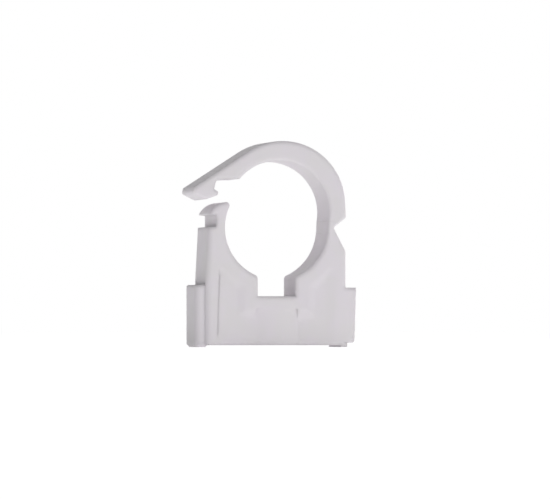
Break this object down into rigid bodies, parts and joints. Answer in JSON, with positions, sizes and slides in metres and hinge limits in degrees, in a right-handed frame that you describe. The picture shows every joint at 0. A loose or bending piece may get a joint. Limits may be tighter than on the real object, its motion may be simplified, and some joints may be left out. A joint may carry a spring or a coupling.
{
  "type": "hinged pipe clip",
  "caption": "White moulded pipe clip: a saddle base with a screw slot, and a strap on a living hinge that snaps over the pipe onto a hooked post.",
  "frame": {"origin": "on the wall plane, on the axis of the screw hole, midway between the front and back faces", "axes": "+X across the clip from the hook to the hinge, +Y along the pipe away from the viewer, +Z away from the wall"},
  "size_m": [0.0357, 0.015, 0.0443],
  "materials": {
    "white_plastic": "satin, slightly translucent"
  },
  "bodies": {
    "base": {"base": "white_plastic", "living_hinge": "white_plastic"},
    "strap": {"strap": "white_plastic"}
  },
  "joints": [
    {"name": "strap_hinge", "type": "hinge", "parent": "base", "child": "strap", "pos_m": [0.01183, 0, 0.0258], "axis": [0, 1, 0], "range_deg": [-12.3, 65], "stiffness_Nm_per_rad": 0.3, "deforming": ["living_hinge"]}
  ]
}
